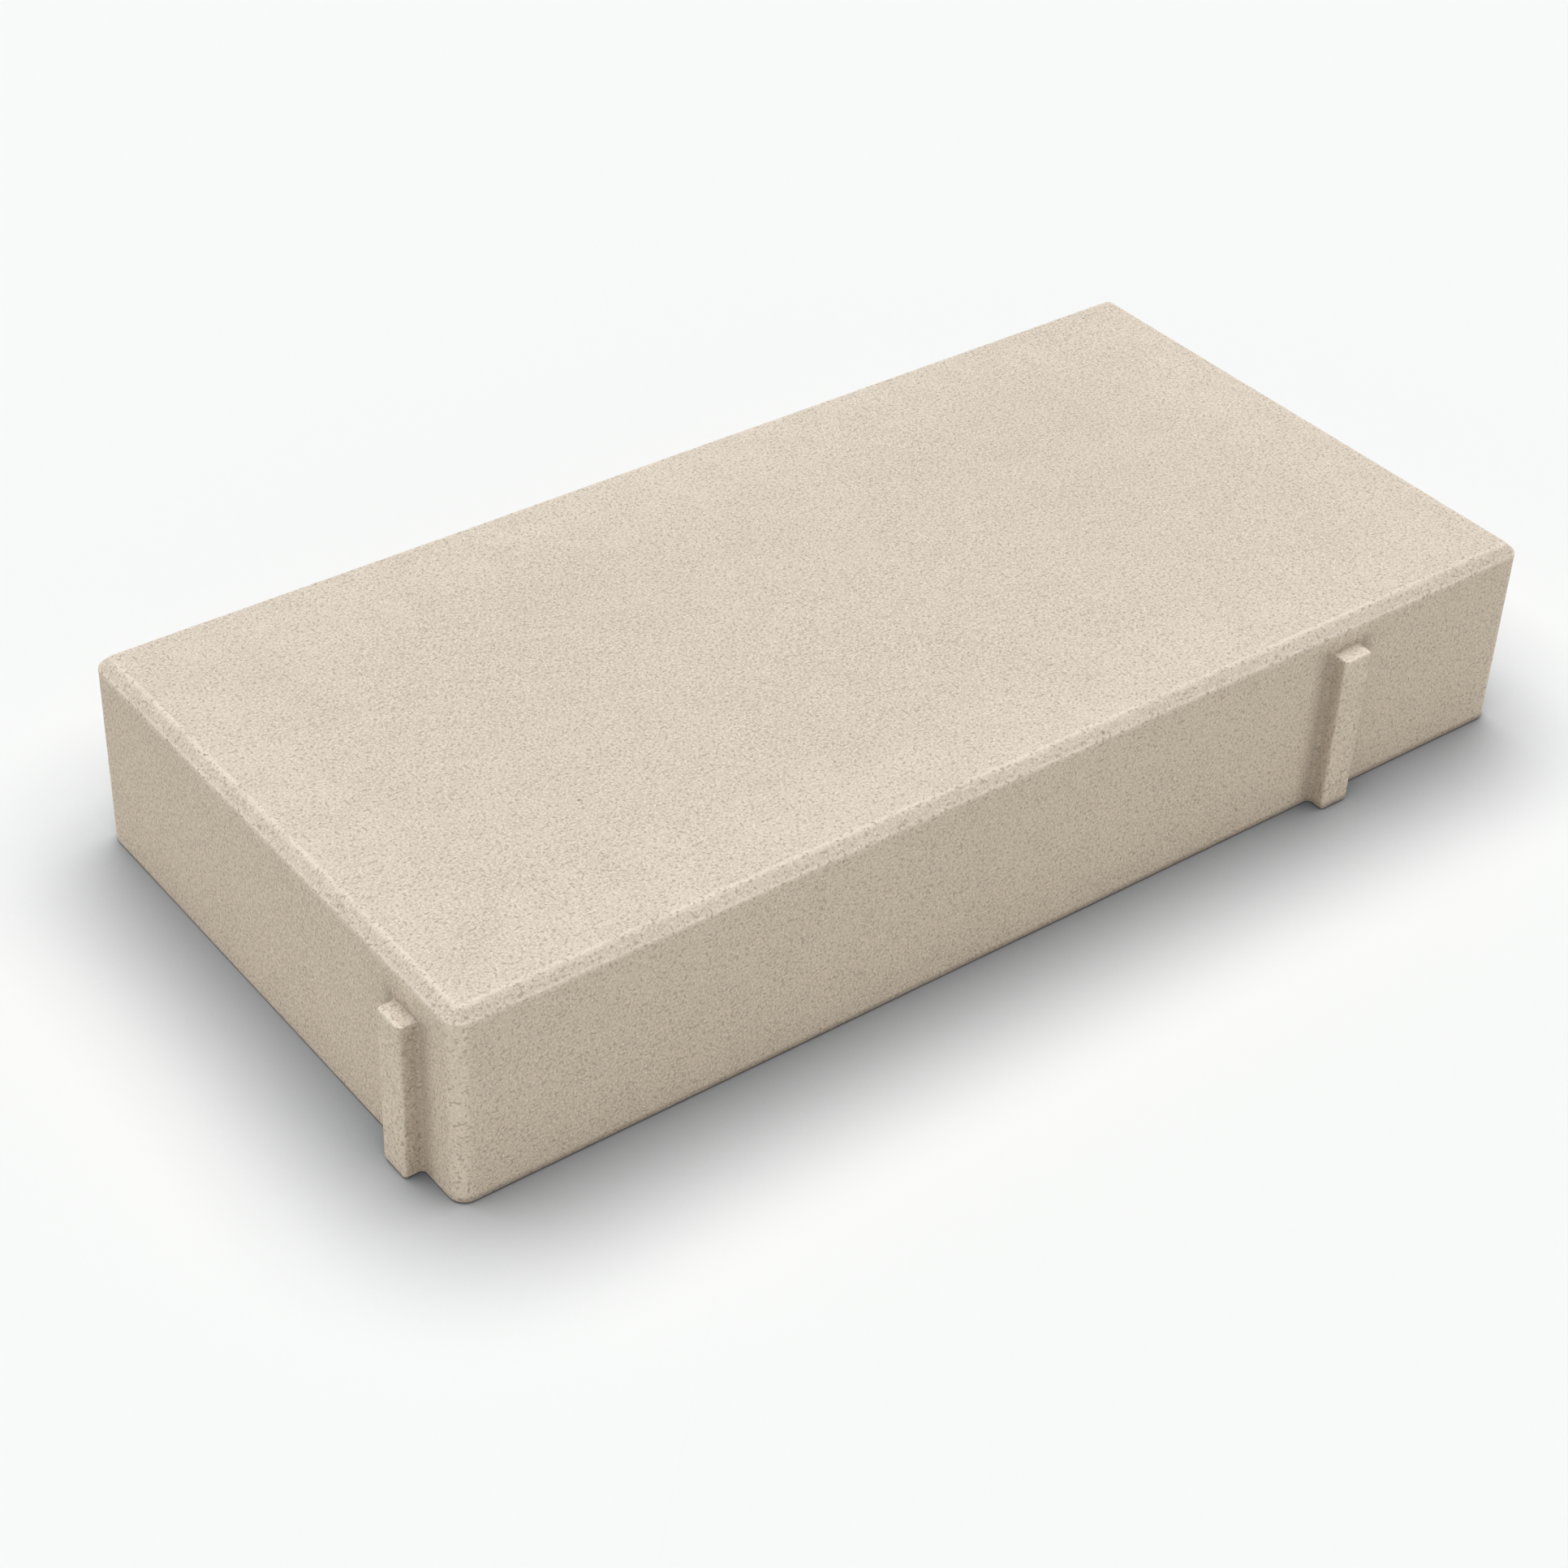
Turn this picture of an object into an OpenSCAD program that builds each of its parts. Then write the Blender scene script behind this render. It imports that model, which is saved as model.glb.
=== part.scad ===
// Concrete paving stone with a chamfered wearing face and cast spacer nibs.
// Millimetres. The stone lies flat with its bedding face on z = 0, centred on the origin.
// +X runs along the length, +Z points up out of the wearing face.

/* [Stone] */
// Length of the stone without its nibs
stone_length = 300; // [200:1:500]
// Width of the stone without its nibs
stone_width = 147.5; // [100:0.5:300]
// Thickness from bedding face to wearing face
stone_thickness = 50; // [40:1:80]
// Radius of the four upright corners
corner_radius = 4; // [3.5:0.5:12]

/* [Edges] */
// Chamfer round the wearing face, measured inward
chamfer_run = 2.8; // [1.5:0.1:3.5]
// The same chamfer, measured downward
chamfer_drop = 2.5; // [1.5:0.1:5]
// Rounding of the two arrises of the chamfer
arris_radius = 0.6; // [0.2:0.1:1]
// Rounding of the edge that stands on the bed
foot_radius = 0.7; // [0.3:0.1:2.5]

/* [Spacer nibs] */
// How far a nib stands out from the side
nib_reach = 4.5; // [3:0.1:8]
// Width of a nib from flank to flank
nib_width = 8.5; // [5:0.5:14]
// Rounding of the two outer upright edges of a nib
nib_edge_radius = 1; // [0.4:0.1:2]
// Hollow fillet where a flank runs into the side
nib_root_radius = 0.9; // [0.5:0.1:2.4]
// Rounding of the outer edge of a nib's top
nib_top_radius = 0.5; // [0.2:0.1:1.5]
// From the nearer end to the middle of a long-side nib
side_nib_inset = 58; // [20:0.5:90]
// From the wearing face down to the top of a long-side nib
side_nib_drop = 7.5; // [4:0.5:20]
// From the nearer long side to the middle of an end nib
end_nib_inset = 17.5; // [12:0.5:45]
// From the wearing face down to the top of an end nib
end_nib_drop = 9.5; // [4:0.5:20]

/* [Hidden] */
$fn = 96;
arc_steps = 5;
// How deep a nib is rooted in the stone
nib_bed = 4;
half_length = stone_length / 2;
half_width = stone_width / 2;
core_length = stone_length - 2 * corner_radius;
core_width = stone_width - 2 * corner_radius;
// Angle at which the chamfer faces, up from level
chamfer_face = atan2(chamfer_run, chamfer_drop);
concrete = [0.85, 0.81, 0.74];

// Points of a circular arc from angle a0 to a1
function arc(centre, radius, a0, a1) = [
    for (i = [0 : arc_steps])
        let (a = a0 + (a1 - a0) * i / arc_steps)
        centre + radius * [cos(a), sin(a)]
];

// The same points mirrored left to right, in the opposite order
function mirrored(points) = [
    for (i = [len(points) - 1 : -1 : 0])
        [-points[i].x, points[i].y]
];

// Section through the rim of the stone, outward from the middle of a corner
rim_section = concat(
    [[0, 0]],
    arc([corner_radius - foot_radius, foot_radius], foot_radius, -90, 0),
    arc(
        [
            corner_radius - arris_radius,
            stone_thickness - chamfer_drop - arris_radius * tan(chamfer_face / 2)
        ],
        arris_radius, 0, chamfer_face
    ),
    arc(
        [
            corner_radius - chamfer_run - arris_radius * tan((90 - chamfer_face) / 2),
            stone_thickness - arris_radius
        ],
        arris_radius, chamfer_face, 90
    ),
    [[0, stone_thickness]]
);

// Right half of a nib seen from above, from its root to its outer face
nib_half = concat(
    [[nib_width / 2, -nib_bed]],
    arc([nib_width / 2 + nib_root_radius, nib_root_radius], nib_root_radius, 270, 180),
    arc([nib_width / 2 - nib_edge_radius, nib_reach - nib_edge_radius], nib_edge_radius, 0, 90)
);

// Section through the middle of a nib, outward from the side of the stone
function nib_section(height) = concat(
    [[-nib_bed, 0]],
    arc([nib_reach - foot_radius, foot_radius], foot_radius, -90, 0),
    arc([nib_reach - nib_top_radius, height - nib_top_radius], nib_top_radius, 0, 90),
    [[-nib_bed, height]]
);

// A straight stretch of rim, running along Y and facing +X
module rim(length) {
    rotate([90, 0, 0])
        linear_extrude(length, center = true)
            polygon(rim_section);
}

// A quarter of rim round an upright corner, between +X and +Y
module rim_corner() {
    rotate_extrude(angle = 90)
        polygon(rim_section);
}

// Half of the rim: one end, one long side and the corner before each
module half_rim() {
    translate([core_length / 2, 0, 0])
        rim(core_width);
    translate([core_length / 2, core_width / 2, 0])
        rim_corner();
    translate([0, core_width / 2, 0])
        rotate([0, 0, 90])
            rim(core_length);
    translate([-core_length / 2, core_width / 2, 0])
        rotate([0, 0, 90])
            rim_corner();
}

// One nib on a side that faces +Y
module spacer_nib(height) {
    intersection() {
        linear_extrude(height)
            polygon(concat(nib_half, mirrored(nib_half)));
        rotate([90, 0, 90])
            linear_extrude(2 * nib_width + 4 * nib_root_radius, center = true)
                polygon(nib_section(height));
    }
}

// One long-side nib and one end nib
module nib_pair() {
    translate([half_length - side_nib_inset, -half_width, 0])
        rotate([0, 0, 180])
            spacer_nib(stone_thickness - side_nib_drop);
    translate([-half_length, end_nib_inset - half_width, 0])
        rotate([0, 0, 90])
            spacer_nib(stone_thickness - end_nib_drop);
}

// The whole stone, the same again when turned half round
module paving_stone() {
    color(concrete)
        union() {
            translate([-core_length / 2, -core_width / 2, 0])
                cube([core_length, core_width, stone_thickness]);
            for (turn = [0, 180])
                rotate([0, 0, turn]) {
                    half_rim();
                    nib_pair();
                }
        }
}

paving_stone();
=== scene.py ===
import math

import bpy
from mathutils import Matrix, Vector, noise


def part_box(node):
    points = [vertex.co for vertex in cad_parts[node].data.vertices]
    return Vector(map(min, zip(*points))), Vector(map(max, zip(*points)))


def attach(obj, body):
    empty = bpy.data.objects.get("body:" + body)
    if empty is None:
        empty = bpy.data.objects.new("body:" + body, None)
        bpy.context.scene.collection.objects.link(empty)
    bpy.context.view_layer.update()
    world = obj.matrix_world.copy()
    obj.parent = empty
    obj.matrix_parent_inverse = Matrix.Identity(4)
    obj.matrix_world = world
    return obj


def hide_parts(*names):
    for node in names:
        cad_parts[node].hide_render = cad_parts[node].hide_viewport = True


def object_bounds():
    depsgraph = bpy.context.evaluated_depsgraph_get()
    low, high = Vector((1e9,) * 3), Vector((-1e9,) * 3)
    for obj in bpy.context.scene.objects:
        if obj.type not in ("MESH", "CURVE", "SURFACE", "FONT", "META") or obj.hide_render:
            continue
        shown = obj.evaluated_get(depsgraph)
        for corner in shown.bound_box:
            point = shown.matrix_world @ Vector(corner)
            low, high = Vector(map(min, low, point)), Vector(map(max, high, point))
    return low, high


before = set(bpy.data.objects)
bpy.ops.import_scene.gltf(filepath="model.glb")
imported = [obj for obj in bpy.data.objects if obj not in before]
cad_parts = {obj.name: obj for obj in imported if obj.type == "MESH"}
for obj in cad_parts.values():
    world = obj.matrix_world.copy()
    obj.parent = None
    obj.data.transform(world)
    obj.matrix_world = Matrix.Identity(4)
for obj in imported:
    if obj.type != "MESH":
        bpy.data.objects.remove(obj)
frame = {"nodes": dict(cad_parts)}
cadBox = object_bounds()  # the CAD box, before anything is added
up = Vector((0, 0, 1))
print("frame loaded:", ", ".join(frame["nodes"]))


# The cast stone: lengths in metres, wear, painted highlights and painted shade from 0 for none to 1 for
# full
castStone = {
    # Sizes
    "cornerRadius": 0.004,  # upright corners
    "chamferRun": 0.0028,  # inward from the side
    "chamferDrop": 0.0025,  # down from the wearing face
    "arrisRadius": 0.0006,  # the two edges of the chamfer
    "footRadius": 0.0007,  # less than the nib's edges, so they keep a width at the foot
    "nibReach": 0.0045,
    "nibWidth": 0.0085,
    "nibEdgeRadius": 0.001,
    "nibRootRadius": 0.0009,
    "nibTopRadius": 0.0005,
    "nibInset": (0.058, 0.0175),  # from the nearer corner: long sides, ends
    "nibDrop": (0.0075, 0.0095),  # below the wearing face: long sides, ends

    # How finely the skin is divided: columns stand upright, rows run round the stone
    "columnStep": 0.0012,
    "nibStep": 0.0006,
    "cornerSteps": 8,
    "rootSteps": 6,
    "edgeSteps": 4,
    "footRows": 3,
    "shaftRows": 29,
    "brimRows": 3,  # rounding of a nib's top edge
    "ledgeRows": 5,  # flat top of a nib
    "ledgeSpread": (0.0002, 0.002),  # half their height on a plain side: by a nib, far off
    "spreadRun": 0.006,  # way along the side from the one to the other
    "neckRows": 4,  # from a nib's top to the chamfer
    "arrisRows": 3,
    "chamferRows": 4,
    "brinkInsets": (0.0003, 0.0006),  # rows just inside the edge of the wearing face
    "bedInset": 0.004,  # rim of the bedding face
    "bedStride": 6,  # skin columns to one division of the bedding face
    "creaseAngle": 60,  # degrees

    # Where it is rubbed pale, and painted highlights on the chamfer, along the wearing face, down the
    # upright corners and on the nib faces
    "lowArrisWear": 0.8,
    # painted highlight: the chamfer a little paler
    "chamferPaintedHighlight": 0.12,
    "topArrisWear": 1.0,
    "brinkWear": (1.0, 0.7),
    "sideShare": (1.0, 0.4, 0.4, 1.0),  # share of the arris and brink wear: front, right, back, left
    "marginPaintedHighlight": 0.18,  # painted highlight: a broad paler band along the edge of the wearing face
    "marginRun": (0.012, 0.034),  # where it starts to fade and where it ends
    # painted highlight down the upright corners
    "cornerPaintedHighlight": 0.7,
    "nibEdgeWear": 0.9,
    "nibFacePaintedHighlight": (0.12, 0.5),  # painted highlight on the nib faces: long sides, ends
    "nibTopWear": 0.15,

    # Painted shade: darker along the foot, on and beside the nibs' flanks and just above the nibs, where
    # shade falls
    "footDark": (0.8, 0.08),  # painted shade along the foot: long sides, ends
    "flankPaintedShade": 0.54,
    "flankFade": 0.45,  # how much of that is lost at the outer end of a flank
    "besidePaintedShade": 0.54,
    "besideRun": 0.0055,  # how far that reaches along the side
    "paintedShadeShare": (1.0, 0.85),  # share of the painted shade on and beside the flanks: long sides, ends
    "abovePaintedShade": 0.19,
    "aboveRun": 0.003,  # how far the painted shade reaches above a nib

    # Unevenness of the skin, all of it inward from the true surface
    "swellDepth": 0.00012,  # slow unevenness left by the mould
    "swellSize": 0.04,
    "gritDepth": 0.00006,  # sand standing in the skin
    "gritSize": 0.0034,
    "rubbedFrom": 0.7,  # wear and painted highlight below this only change the colour
    "rubbedDepth": 0.00014,
    "rubbedSize": 0.006,
    "nickFrom": 0.7,  # lumps above this become small losses along the arrises
    "nickDepth": 0.00028,
    "nickSize": 0.0035,
    "noiseShifts": (7, 19, 31),  # keep grit, rubbing and nicks from following each other
}


def evenSteps(start, end, step):
    count = max(1, round((end - start) / step))
    return [start + (end - start) * i / count for i in range(count + 1)]


def arcAngles(first, last, count):
    return [math.radians(first + (last - first) * i / count) for i in range(count + 1)]


def arcPoint(centre, outward, radius, a):
    return centre + outward * radius * math.cos(a) + up * radius * math.sin(a)


def smooth(t):
    t = min(1, max(0, t))
    return t * t * (3 - 2 * t)


def between(start, end, part):
    return start + (end - start) * part


# How far a value stands above a start, from 0 to 1
def above(value, start):
    return max(0, value - start) / (1 - start)


# A nib seen from above, root to root: across, outward, the way it faces and the share of the outline walked
def nibOutline():
    s = castStone
    halfWidth = s["nibWidth"] / 2
    root = s["nibRootRadius"]
    edge = s["nibEdgeRadius"]
    half = []
    for a in arcAngles(270, 360, s["rootSteps"]):
        x = -halfWidth - root + root * math.cos(a)
        half.append((x, root + root * math.sin(a), -math.cos(a), -math.sin(a)))
    for y in evenSteps(root, s["nibReach"] - edge, s["nibStep"])[1:-1]:
        half.append((-halfWidth, y, -1, 0))
    for a in arcAngles(180, 90, s["edgeSteps"]):
        x = edge - halfWidth + edge * math.cos(a)
        half.append((x, s["nibReach"] - edge + edge * math.sin(a), math.cos(a), math.sin(a)))
    for x in evenSteps(edge - halfWidth, 0, s["nibStep"])[1:]:
        half.append((x, s["nibReach"], 0, 1))
    outline = half + [(-x, y, -facingX, facingY) for x, y, facingX, facingY in reversed(half[:-1])]
    walked = [0]
    for (x0, y0, _, _), (x1, y1, _, _) in zip(outline, outline[1:]):
        walked.append(walked[-1] + math.hypot(x1 - x0, y1 - y0))
    return [(*spot, distance / walked[-1]) for spot, distance in zip(outline, walked)]


# One upright line of the skin on a plain side, some way along it from the nearest nib
def plainColumn(base, outward, ledge, fromNib):
    s = castStone
    return {
        "base": base,  # on the side, under the chamfer
        "outward": outward,
        "skin": base,  # where the skin itself runs
        "facing": outward,
        "ledge": ledge,  # height of the nibs on this side
        "depth": 0,  # how far the skin stands out
        "brim": 0,  # rounding under the ledge
        "spread": between(*s["ledgeSpread"], smooth(fromNib / s["spreadRun"])),
        "worn": 0,
        # painted shade beside a nib, fading along the side
        "dark": s["besidePaintedShade"] * (1 - smooth(fromNib / s["besideRun"])),
    }


# How a side lies: 0 for a long side or 1 for an end, along, outward, its middle and half its straight run
def sideFrame(side, half):
    kind = side % 2
    turn = math.radians(90 * side)
    along = Vector((math.cos(turn), math.sin(turn), 0))
    outward = along.cross(up)
    return kind, along, outward, outward * half[1 - kind], half[kind] - castStone["cornerRadius"]


# Columns along one side and over its nib, left to right as seen from outside
def sideColumns(side, half, ledges):
    s = castStone
    kind, along, outward, middle, halfRun = sideFrame(side, half)
    ledge = ledges[kind]
    nibAt = half[kind] - s["nibInset"][kind]
    nibFoot = s["nibWidth"] / 2 + s["nibRootRadius"]
    columns = []
    for place in evenSteps(-halfRun, nibAt - nibFoot, s["columnStep"]):
        base = middle + along * place
        columns.append(plainColumn(base, outward, ledge, nibAt - nibFoot - place))
    for x, y, facingX, facingY, walked in nibOutline()[1:-1]:
        # The side above the nib is divided as the nib's outline is
        base = middle + along * (nibAt + nibFoot * (2 * walked - 1))
        column = plainColumn(base, outward, ledge, 0)
        column["skin"] = middle + along * (nibAt + x) + outward * y
        column["facing"] = along * facingX + outward * facingY
        column["depth"] = y
        column["brim"] = min(s["nibTopRadius"], y / 2)
        column["spread"] = 0
        if y > s["nibRootRadius"]:
            rounding = 2 * abs(facingX * facingY)  # 1 in the middle of a rounded edge, 0 on the flats
            # painted highlight on the nib's outer face
            facePaintedHighlight = s["nibFacePaintedHighlight"][kind] * facingY ** 2
            column["worn"] = s["nibEdgeWear"] * rounding + facePaintedHighlight * (1 - rounding)
            # painted shade on the flank, less towards its outer end
            column["dark"] = s["flankPaintedShade"] * facingX ** 2 * (1 - s["flankFade"] * y / s["nibReach"])
        columns.append(column)
    for place in evenSteps(nibAt + nibFoot, halfRun, s["columnStep"]):
        base = middle + along * place
        columns.append(plainColumn(base, outward, ledge, place - nibAt - nibFoot))
    for column in columns:
        # painted shade, less of it on the ends
        column["dark"] *= s["paintedShadeShare"][kind]
        column["footDark"] = s["footDark"][kind]
        column["share"] = s["sideShare"][side]
    return columns


# Columns round the corner at the right-hand end of a side
def cornerColumns(side, half, ledges):
    s = castStone
    kind, along, outward, middle, halfRun = sideFrame(side, half)
    nextSide = (side + 1) % 4
    centre = middle + along * halfRun - outward * s["cornerRadius"]
    clearOfNibs = s["nibInset"][1]  # further than the dark beside a nib reaches
    columns = []
    for i in range(1, s["cornerSteps"]):
        part = i / s["cornerSteps"]
        a = math.radians(90 * part)
        facing = outward * math.cos(a) + along * math.sin(a)
        ledge = between(ledges[kind], ledges[1 - kind], part)
        column = plainColumn(centre + facing * s["cornerRadius"], facing, ledge, clearOfNibs)
        # painted highlight, strongest in the middle of the corner
        column["worn"] = s["cornerPaintedHighlight"] * math.sin(2 * a)
        column["footDark"] = between(s["footDark"][kind], s["footDark"][1 - kind], part)
        column["share"] = between(s["sideShare"][side], s["sideShare"][nextSide], part)
        columns.append(column)
    return columns


# All columns, round from the front left corner, and the number of the one in the middle of each corner
def skinColumns(half, thickness):
    s = castStone
    ledges = [thickness - drop for drop in s["nibDrop"]]
    columns = []
    cornerMiddles = []
    for side in range(4):
        columns += sideColumns(side, half, ledges)
        cornerMiddles.append(len(columns) + s["cornerSteps"] // 2 - 1)
        columns += cornerColumns(side, half, ledges)
    return columns, cornerMiddles


# Rows up a column, each as its point, its wear and painted highlight, and its painted shade: first the foot
# and the shaft
def shaftRows(column):
    s = castStone
    skin, facing = column["skin"], column["facing"]
    foot = s["footRadius"]
    rows = []
    for a in arcAngles(-90, 0, s["footRows"]):
        place = arcPoint(skin + up * foot - facing * foot, facing, foot, a)
        # painted shade along the foot rounding, none on the bedding face
        rows.append((place, 0, max(column["dark"], column["footDark"] * math.cos(a))))
    shaftTop = column["ledge"] - column["brim"] - column["spread"]
    for i in range(1, s["shaftRows"]):
        z = foot + (shaftTop - foot) * i / s["shaftRows"]
        rows.append((skin + up * z, column["worn"], column["dark"]))
    return rows


# Painted shade on the side from the height of the nibs upward
def paintedShadeAbove(column, z):
    s = castStone
    dark = s["abovePaintedShade"] if column["depth"] else column["dark"]
    return dark * (1 - smooth((z - column["ledge"]) / s["aboveRun"]))


# Over the top of a nib, or the same number of rows up a plain side
def ledgeRows(column):
    s = castStone
    base, ledge, brim = column["base"], column["ledge"], column["brim"]
    rows = []
    if not column["depth"]:
        count = s["brimRows"] + s["ledgeRows"]
        for i in range(count + 1):
            z = ledge + column["spread"] * (2 * i / count - 1)
            rows.append((base + up * z, column["worn"], paintedShadeAbove(column, z)))
        return rows
    brimWear = s["nibEdgeWear"] * min(1, column["depth"] / s["nibRootRadius"])
    for a in arcAngles(0, 90, s["brimRows"]):
        inset = brim * (1 - math.cos(a))
        place = column["skin"] - column["facing"] * inset + up * (ledge - brim + brim * math.sin(a))
        rows.append((place, brimWear, column["dark"] * math.cos(a)))
    brimEnd = rows[-1][0]
    for i in range(1, s["ledgeRows"] + 1):
        place = brimEnd.lerp(base + up * ledge, i / s["ledgeRows"])
        dark = paintedShadeAbove(column, ledge) if i == s["ledgeRows"] else 0
        rows.append((place, s["nibTopWear"], dark))
    return rows


# Up to the chamfer, over its two arrises and just onto the wearing face
def rimRows(column, thickness):
    s = castStone
    base, outward, share = column["base"], column["outward"], column["share"]
    arris = s["arrisRadius"]
    chamferFace = math.atan2(s["chamferRun"], s["chamferDrop"])
    faceDegrees = math.degrees(chamferFace)
    neckStart = column["ledge"] + column["spread"]
    neckEnd = thickness - s["chamferDrop"] - arris * math.tan(chamferFace / 2)
    topInset = s["chamferRun"] + arris * math.tan((math.pi / 2 - chamferFace) / 2)
    lowCentre = base - outward * arris + up * neckEnd
    topCentre = base - outward * topInset + up * (thickness - arris)
    rows = []
    for i in range(1, s["neckRows"]):
        z = neckStart + (neckEnd - neckStart) * i / s["neckRows"]
        rows.append((base + up * z, column["worn"], paintedShadeAbove(column, z)))
    for a in arcAngles(0, faceDegrees, s["arrisRows"]):
        rows.append((arcPoint(lowCentre, outward, arris, a), s["lowArrisWear"] * share, 0))
    chamferStart = rows[-1][0]
    chamferEnd = arcPoint(topCentre, outward, arris, chamferFace)
    for i in range(1, s["chamferRows"]):
        place = chamferStart.lerp(chamferEnd, i / s["chamferRows"])
        # painted highlight on the chamfer
        rows.append((place, s["chamferPaintedHighlight"], 0))
    for a in arcAngles(faceDegrees, 90, s["arrisRows"]):
        rows.append((arcPoint(topCentre, outward, arris, a), s["topArrisWear"] * share, 0))
    for inset, worn in zip(s["brinkInsets"], s["brinkWear"]):
        place = base - outward * (topInset + inset) + up * thickness
        rows.append((place, worn * share, 0))
    return rows


# Splits a ring of items into front, right, back and left runs, each from corner to corner
def fourRuns(ring, corners):
    runs = []
    for start, end in zip([corners[-1]] + corners[:-1], corners):
        last = end if end > start else end + len(ring)
        runs.append([ring[i % len(ring)] for i in range(start, last + 1)])
    return runs


# Fills four runs of points with a grid, and gives the grid's rows as point numbers
def fillGrid(points, runs):
    front, right, back, left = runs[0], runs[1], runs[2][::-1], runs[3][::-1]
    columnCount = len(front) - 1
    rowCount = len(left) - 1
    rows = [front]
    for j in range(1, rowCount):
        v = j / rowCount
        row = [left[j]]
        for i in range(1, columnCount):
            u = i / columnCount
            acrossWay = points[left[j]] * (1 - u) + points[right[j]] * u
            upWay = points[front[i]] * (1 - v) + points[back[i]] * v
            lowCorners = points[front[0]] * (1 - u) + points[front[-1]] * u
            highCorners = points[back[0]] * (1 - u) + points[back[-1]] * u
            points.append(acrossWay + upWay - lowCorners * (1 - v) - highCorners * v)
            row.append(len(points) - 1)
        rows.append(row + [right[j]])
    rows.append(back)
    return rows


def gridFaces(rows):
    faces = []
    for near, far in zip(rows, rows[1:]):
        for i in range(len(near) - 1):
            faces.append((near[i], near[i + 1], far[i + 1], far[i]))
    return faces


# The bedding face is coarser than the sides: a rim of long faces round an open grid
def bedFaces(points, columns, skin, corners):
    s = castStone
    faces = []
    bedRuns = []
    footRuns = fourRuns([column[0] for column in skin], corners)
    baseRuns = fourRuns(columns, corners)
    for foot, line in zip(footRuns, baseRuns):
        stops = [round(place) for place in evenSteps(0, len(foot) - 1, s["bedStride"])]
        run = [bedRuns[-1][-1]] if bedRuns else []  # starts where the last run ended
        for stop in stops[len(run):]:
            if stop == stops[-1] and len(bedRuns) == 3:  # the fourth run ends where the first began
                run.append(bedRuns[0][0])
                continue
            points.append(line[stop]["base"] - line[stop]["outward"] * s["bedInset"])
            run.append(len(points) - 1)
        for i in range(len(stops) - 1):
            faces.append([run[i], run[i + 1]] + foot[stops[i]:stops[i + 1] + 1][::-1])
        bedRuns.append(run)
    return faces + [face[::-1] for face in gridFaces(fillGrid(points, bedRuns))]


# Smooth noise from 0 to 1
def lumps(place, size, shift=0):
    return 0.5 + 0.5 * noise.noise(place / size + up * shift)


def roughen(mesh, wearAndPaintedHighlightMask):
    s = castStone
    gritShift, rubbedShift, nickShift = s["noiseShifts"]
    moved = []
    for vertex, worn in zip(mesh.vertices, wearAndPaintedHighlightMask):
        p = vertex.co
        rubbed = above(worn, s["rubbedFrom"])
        nick = above(lumps(p, s["nickSize"], nickShift), s["nickFrom"])
        depth = s["swellDepth"] * lumps(p, s["swellSize"])
        depth += s["gritDepth"] * lumps(p, s["gritSize"], gritShift)
        depth += rubbed * s["rubbedDepth"] * lumps(p, s["rubbedSize"], rubbedShift)
        depth += rubbed * s["nickDepth"] * nick
        normal = vertex.normal
        if p.z < s["footRadius"] / 2:  # the foot stays on the ground
            normal = normal - up * normal.z
        moved.append(p - normal * depth)
    for vertex, place in zip(mesh.vertices, moved):
        vertex.co = place


# Painted highlight on the two flat faces: a paler band along the edge of the wearing face, none on the
# bedding face
def flatPaintedHighlight(place, half, thickness):
    if place.z < thickness / 2:
        return 0
    fromSide = min(half[0] - abs(place.x), half[1] - abs(place.y))
    start, end = castStone["marginRun"]
    return castStone["marginPaintedHighlight"] * (1 - smooth((fromSide - start) / (end - start)))


def buildStone():
    low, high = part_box("paving_stone")
    thickness = high.z - low.z
    half = [(high - low)[axis] / 2 - castStone["nibReach"] for axis in (0, 1)]
    columns, corners = skinColumns(half, thickness)
    points = []
    masks = {"worn": [], "dark": []}
    skin = []  # point numbers, column by column
    for column in columns:
        rows = shaftRows(column) + ledgeRows(column) + rimRows(column, thickness)
        skin.append(list(range(len(points), len(points) + len(rows))))
        points += [place for place, _, _ in rows]
        masks["worn"] += [worn for _, worn, _ in rows]
        masks["dark"] += [dark for _, _, dark in rows]
    faces = gridFaces([list(row) for row in zip(*(skin + skin[:1]))])
    wearingRuns = fourRuns([column[-1] for column in skin], corners)
    faces += gridFaces(fillGrid(points, wearingRuns))
    faces += bedFaces(points, columns, skin, corners)
    for place in points[len(masks["worn"]):]:  # the two flat faces
        masks["worn"].append(flatPaintedHighlight(place, half, thickness))
        masks["dark"].append(0)

    mesh = bpy.data.meshes.new("castStone")
    mesh.from_pydata(points, [], faces)
    mesh.shade_smooth()
    for name, values in masks.items():
        mesh.attributes.new(name, "FLOAT", "POINT").data.foreach_set("value", values)
    roughen(mesh, masks["worn"])
    mesh.set_sharp_from_angle(angle=math.radians(castStone["creaseAngle"]))
    stone = bpy.data.objects.new("castStone", mesh)
    bpy.context.collection.objects.link(stone)
    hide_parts("paving_stone")
    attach(stone, "root")
    print("stone built:", len(points), "points,", sum(len(face) - 2 for face in faces), "triangles")
    return stone


# Node helpers: a value is either a number or colour, or an output to link
def feed(tree, socket, value):
    if isinstance(value, bpy.types.NodeSocket):
        tree.links.new(value, socket)
    else:
        socket.default_value = value


def addNode(tree, kind, settings=None, **inputs):
    node = tree.nodes.new(kind)
    for name, value in (settings or {}).items():
        setattr(node, name, value)
    for name, value in inputs.items():
        feed(tree, node.inputs[name], value)
    return node


def calc(tree, operation, *values):
    node = tree.nodes.new("ShaderNodeMath")
    node.operation = operation
    for socket, value in zip(node.inputs, values):
        feed(tree, socket, value)
    return node.outputs["Value"]


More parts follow.
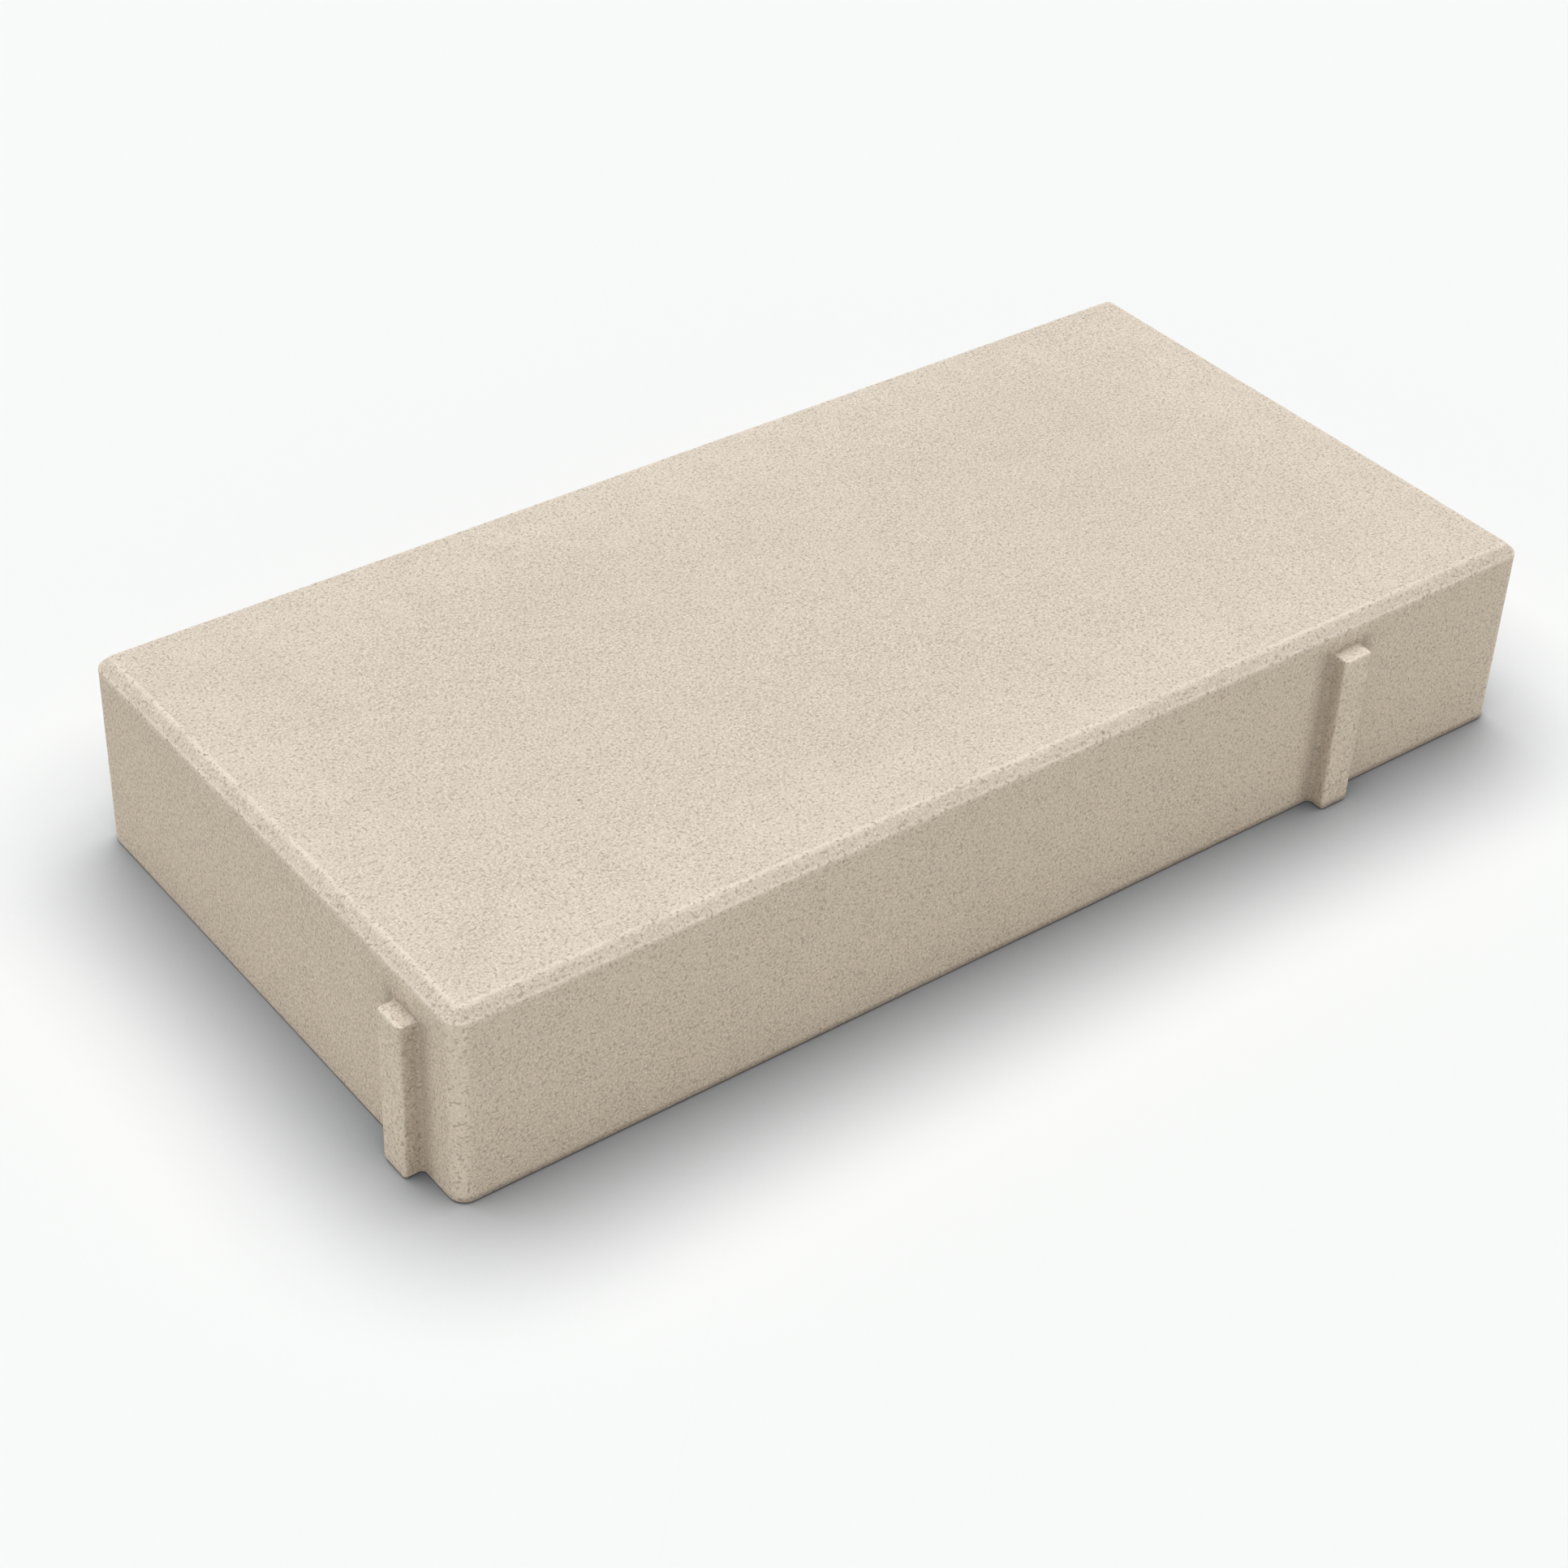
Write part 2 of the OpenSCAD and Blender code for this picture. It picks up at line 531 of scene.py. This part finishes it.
# Runs a value from one range to another, held at both ends
def rangeOf(tree, value, start, end, low=0.0, high=1.0):
    node = addNode(tree, "ShaderNodeMapRange", {"interpolation_type": "SMOOTHSTEP"}, Value=value)
    for name, number in (("From Min", start), ("From Max", end), ("To Min", low), ("To Max", high)):
        node.inputs[name].default_value = number
    return node.outputs["Result"]


# Lays one colour over another; the node's colour sockets share their names, so they go by number
def tint(tree, amount, under, over, blend="MIX"):
    node = tree.nodes.new("ShaderNodeMix")
    node.data_type = "RGBA"
    node.blend_type = blend
    feed(tree, node.inputs[0], amount)
    feed(tree, node.inputs[6], under)
    feed(tree, node.inputs[7], over)
    return node.outputs[2]


def newMaterial(name):
    material = bpy.data.materials.new(name)
    material.use_nodes = True
    tree = material.node_tree
    tree.nodes.clear()
    return material, tree


# Sand-coloured fine concrete: colours are linear, scales are features per metre
sandConcrete = {
    "dark": (0.45, 0.389, 0.315, 1),
    "sand": (0.70, 0.618, 0.515, 1),
    "pale": (0.885, 0.792, 0.677, 1),
    "blotchScale": 15,  # slow changes of tone
    "blotchAmount": 0.16,
    "mottleScale": 95,
    "mottleAmount": 0.16,
    "sandScale": 1900,  # the sand itself
    "sandAmount": 1.1,
    "dustScale": 3400,
    "dustAmount": 0.95,
    "noiseDetail": {"blotch": 3, "mottle": 3, "sand": 1, "dust": 1, "pepper": 0, "salt": 0},
    "noiseRoughness": 0.55,
    "pepperScale": 1300,  # darker grains
    "pepperRange": (0.37, 0.27),  # noise from no grain to a full one
    "pepperAmount": 0.7,
    "saltScale": 1900,  # paler grains
    "saltRange": (0.62, 0.76),  # noise from no grain to a full one
    "saltAmount": 0.6,
    "pitScale": 110,  # few small open pores
    "pitRadius": 0.05,  # of the largest, in widths of a cell
    "pitRange": (0.2, 1.0),  # cells below the first have no pore, the last has the largest
    "pitLeast": 0.001,  # keeps the size of a pore above nothing
    "pitRim": 0.55,  # share of the radius inside the soft rim
    "pitColour": (0.30, 0.25, 0.19, 1),
    "pitAmount": 0.7,
    "wornAmount": 0.38,  # how far wear and painted highlight move the tone towards pale
    "wearAndPaintedHighlightRange": (0.3, 0.6),  # mottle between which wear and painted highlight go from their least to full
    "wearAndPaintedHighlightLeast": 0.5,
    "paintedShadeTint": (0.5, 0.476, 0.454, 1),  # multiplies the colour where the painted shade is full
    "bumpHeight": 0.00018,
    "bumpShares": {"sand": 0.6, "dust": 0.4, "pepper": -0.25, "salt": 0.15, "pit": -0.8},  # minus sinks
    "roughRange": (0.3, 0.7),  # tones that have the two values below
    "roughness": (0.95, 0.82),
    "specular": 0.3,
}


# Scattered round pores, each of its own size
def pores(tree, coords):
    c = sandConcrete
    cells = addNode(tree, "ShaderNodeTexVoronoi", Vector=coords, Scale=c["pitScale"])
    size = addNode(tree, "ShaderNodeSeparateColor", Color=cells.outputs["Color"]).outputs["Red"]
    reach = rangeOf(tree, size, *c["pitRange"], 0.0, c["pitRadius"])
    reach = calc(tree, "MAXIMUM", reach, c["pitLeast"])
    edge = calc(tree, "DIVIDE", cells.outputs["Distance"], reach)
    return rangeOf(tree, edge, 1.0, c["pitRim"])


def makeConcrete():
    c = sandConcrete
    material, tree = newMaterial("sandConcrete")
    coords = addNode(tree, "ShaderNodeTexCoord").outputs["Object"]
    middle = 0.5  # of the noise and of the tone

    def cloud(name):
        grain = addNode(tree, "ShaderNodeTexNoise", Vector=coords, Scale=c[name + "Scale"])
        grain.inputs["Detail"].default_value = c["noiseDetail"][name]
        grain.inputs["Roughness"].default_value = c["noiseRoughness"]
        return grain.outputs["Fac"]

    def scaled(value, name):
        return calc(tree, "MULTIPLY", value, c[name + "Amount"])

    def stored(name):
        return addNode(tree, "ShaderNodeAttribute", {"attribute_name": name}).outputs["Fac"]

    # Tone: slow changes, then the grain, then wear and painted highlights
    grains = {name: cloud(name) for name in ("blotch", "mottle", "sand", "dust")}
    tone = middle
    for name, value in grains.items():
        shift = calc(tree, "SUBTRACT", value, middle)
        tone = calc(tree, "MULTIPLY_ADD", shift, c[name + "Amount"], tone)
    patches = rangeOf(tree, grains["mottle"], *c["wearAndPaintedHighlightRange"], c["wearAndPaintedHighlightLeast"], 1.0)
    # wear and painted highlights, broken up by the mottle
    rubbed = calc(tree, "MULTIPLY", stored("worn"), patches)
    tone = calc(tree, "ADD", tone, scaled(rubbed, "worn"))
    ramp = addNode(tree, "ShaderNodeValToRGB", Fac=tone)
    ramp.color_ramp.elements[0].color = c["dark"]
    ramp.color_ramp.elements[1].color = c["pale"]
    ramp.color_ramp.elements.new(middle).color = c["sand"]

    # Single grains, pores and the painted shade
    grains["pepper"] = rangeOf(tree, cloud("pepper"), *c["pepperRange"])
    grains["salt"] = rangeOf(tree, cloud("salt"), *c["saltRange"])
    grains["pit"] = pores(tree, coords)
    colour = tint(tree, scaled(grains["pepper"], "pepper"), ramp.outputs["Color"], c["dark"])
    colour = tint(tree, scaled(grains["salt"], "salt"), colour, c["pale"])
    colour = tint(tree, scaled(grains["pit"], "pit"), colour, c["pitColour"])
    # painted shade multiplied into the colour
    colour = tint(tree, stored("dark"), colour, c["paintedShadeTint"], "MULTIPLY")

    height = 0.0
    for name, share in c["bumpShares"].items():
        height = calc(tree, "MULTIPLY_ADD", grains[name], share, height)
    bump = addNode(tree, "ShaderNodeBump", Height=height, Strength=1.0, Distance=c["bumpHeight"])
    skin = addNode(
        tree, "ShaderNodeBsdfPrincipled", **{
            "Base Color": colour,
            "Roughness": rangeOf(tree, tone, *c["roughRange"], *c["roughness"]),
            "Specular IOR Level": c["specular"],
            "Normal": bump.outputs["Normal"],
        }
    )
    output = addNode(tree, "ShaderNodeOutputMaterial")
    tree.links.new(skin.outputs["BSDF"], output.inputs["Surface"])
    print("concrete made:", len(tree.nodes), "nodes")
    return material


stone = buildStone()
stone.data.materials.append(makeConcrete())


# White studio floor with a painted shadow round the stone, seen through from below
studioFloor = {
    "size": 12.0,
    "gap": 0.0002,  # just clear of the bedding face
    "openReach": 0.0005,  # shorter rays pass through, so the bedding face isn't black
    "colour": (0.92, 0.937, 0.935, 1),
    "bounceColour": (0.86, 0.835, 0.785, 1),  # what the stone sees of it
    "paintedShadowReach": 0.046,  # how far the painted shadow round the stone spreads
    "paintedShadowSamples": 16,
    "paintedShadowPower": 1.2,
    "paintedShadowColour": (0.058, 0.086, 0.14, 1),
}


def makeFloor():
    f = studioFloor
    reach = f["size"] / 2
    corners = [(-reach, -reach), (reach, -reach), (reach, reach), (-reach, reach)]
    mesh = bpy.data.meshes.new("studioFloor")
    mesh.from_pydata([(x, y, -f["gap"]) for x, y in corners], [], [(0, 1, 2, 3)])
    floor = bpy.data.objects.new("studioFloor", mesh)
    bpy.context.collection.objects.link(floor)
    material, tree = newMaterial("studioFloor")
    # Painted shadow: camera rays see the floor darkened by occlusion near the stone
    nearness = addNode(tree, "ShaderNodeAmbientOcclusion", Distance=f["paintedShadowReach"])
    nearness.samples = f["paintedShadowSamples"]
    paintedShadow = calc(tree, "POWER", nearness.outputs["AO"], f["paintedShadowPower"])
    shaded = tint(tree, paintedShadow, f["paintedShadowColour"], f["colour"])
    ray = addNode(tree, "ShaderNodeLightPath").outputs
    colour = tint(tree, ray["Is Camera Ray"], f["bounceColour"], shaded)
    paint = addNode(tree, "ShaderNodeBsdfDiffuse", Color=colour)
    clear = addNode(tree, "ShaderNodeBsdfTransparent")
    under = addNode(tree, "ShaderNodeNewGeometry").outputs["Backfacing"]
    beneath = calc(tree, "LESS_THAN", ray["Ray Length"], f["openReach"])
    mix = tree.nodes.new("ShaderNodeMixShader")
    feed(tree, mix.inputs[0], calc(tree, "MAXIMUM", under, beneath))
    feed(tree, mix.inputs[1], paint.outputs["BSDF"])
    feed(tree, mix.inputs[2], clear.outputs["BSDF"])
    output = addNode(tree, "ShaderNodeOutputMaterial")
    tree.links.new(mix.outputs["Shader"], output.inputs["Surface"])
    mesh.materials.append(material)
    print("floor laid")


makeFloor()


# Direction from the middle of the stone to a lamp or camera
def direction(azimuth, elevation):
    a = math.radians(azimuth)
    e = math.radians(elevation)
    return Vector((math.sin(a) * math.cos(e), -math.cos(a) * math.cos(e), math.sin(e)))


# A soft key from above and a little behind, and pale studio walls under a dim ceiling; angles in degrees
studioLight = {
    "keyAzimuth": 157,
    "keyElevation": 79,
    "keySpread": 58,
    "keyStrength": 2.74,
    "wallColour": (1.0, 0.985, 0.97, 1),
    "backdropColour": (0.94, 0.955, 0.947, 1),  # the same as the far floor, seen beyond its edge
    "wallStrength": 0.52,
    "ceilingStrength": 0.03,
    "wallTop": (20, 36),  # elevations between which the walls fade into the ceiling
    "fillAzimuth": -36,  # where the walls are brightest
    "fillStrength": 0.34,
}


def makeKey():
    s = studioLight
    lamp = bpy.data.lights.new("key", "SUN")
    lamp.energy = s["keyStrength"]
    lamp.angle = math.radians(s["keySpread"])
    key = bpy.data.objects.new("key", lamp)
    towards = direction(s["keyAzimuth"], s["keyElevation"])
    key.rotation_euler = towards.to_track_quat("Z", "Y").to_euler()
    bpy.context.collection.objects.link(key)
    print("key light set")


def makeStudio():
    s = studioLight
    world = bpy.data.worlds.new("studio")
    world.use_nodes = True
    tree = world.node_tree
    tree.nodes.clear()
    looking = addNode(tree, "ShaderNodeTexCoord").outputs["Generated"]
    height = addNode(tree, "ShaderNodeSeparateXYZ", Vector=looking).outputs["Z"]
    fadeStart, fadeEnd = [math.sin(math.radians(angle)) for angle in s["wallTop"]]
    low = rangeOf(tree, height, fadeStart, fadeEnd, 1.0, 0.0)
    fill = addNode(tree, "ShaderNodeVectorMath", {"operation": "DOT_PRODUCT"})
    feed(tree, fill.inputs[0], looking)
    feed(tree, fill.inputs[1], direction(s["fillAzimuth"], 0))
    towardsFill = calc(tree, "MAXIMUM", fill.outputs["Value"], 0.0)
    level = calc(tree, "MULTIPLY_ADD", towardsFill, s["fillStrength"], s["wallStrength"])
    walls = calc(tree, "MULTIPLY_ADD", low, level, s["ceilingStrength"])
    ray = addNode(tree, "ShaderNodeLightPath").outputs
    seen = calc(tree, "MAXIMUM", ray["Is Camera Ray"], ray["Is Glossy Ray"])
    seen = calc(tree, "MAXIMUM", seen, ray["Is Transmission Ray"])
    strength = calc(tree, "MAXIMUM", seen, walls)
    colour = tint(tree, seen, s["wallColour"], s["backdropColour"])
    glow = addNode(tree, "ShaderNodeBackground", Color=colour, Strength=strength)
    output = addNode(tree, "ShaderNodeOutputWorld")
    tree.links.new(glow.outputs["Background"], output.inputs["Surface"])
    bpy.context.scene.world = world
    print("studio set")


makeKey()
makeStudio()


# The photograph's view: angles in degrees, lengths in metres, lens and sensor in millimetres
photoView = {
    "azimuth": -38.83,
    "elevation": 37.14,
    "roll": 2.74,
    "distance": 0.7407,
    "aimRight": -0.0109,  # point aimed at, from the middle of the stone
    "aimUp": -0.0228,
    "lens": 72.95,
    "sensor": 36.0,
    "clipStart": 0.01,
}


def makeCamera():
    v = photoView
    back = direction(v["azimuth"], v["elevation"])
    level = up.cross(back).normalized()
    upright = back.cross(level)
    rollCos = math.cos(math.radians(v["roll"]))
    rollSin = math.sin(math.radians(v["roll"]))
    right = level * rollCos + upright * rollSin
    top = upright * rollCos - level * rollSin
    low, high = cadBox
    aim = (low + high) / 2 + right * v["aimRight"] + top * v["aimUp"]
    lens = bpy.data.cameras.new("photoView")
    lens.lens = v["lens"]
    lens.sensor_width = v["sensor"]
    lens.clip_start = v["clipStart"]
    camera = bpy.data.objects.new("photoView", lens)
    turned = Matrix((right, top, back)).transposed().to_4x4()
    camera.matrix_world = Matrix.Translation(aim + back * v["distance"]) @ turned
    bpy.context.collection.objects.link(camera)
    bpy.context.scene.camera = camera
    print("camera placed")


makeCamera()
bpy.context.scene.view_settings.view_transform = "Standard"
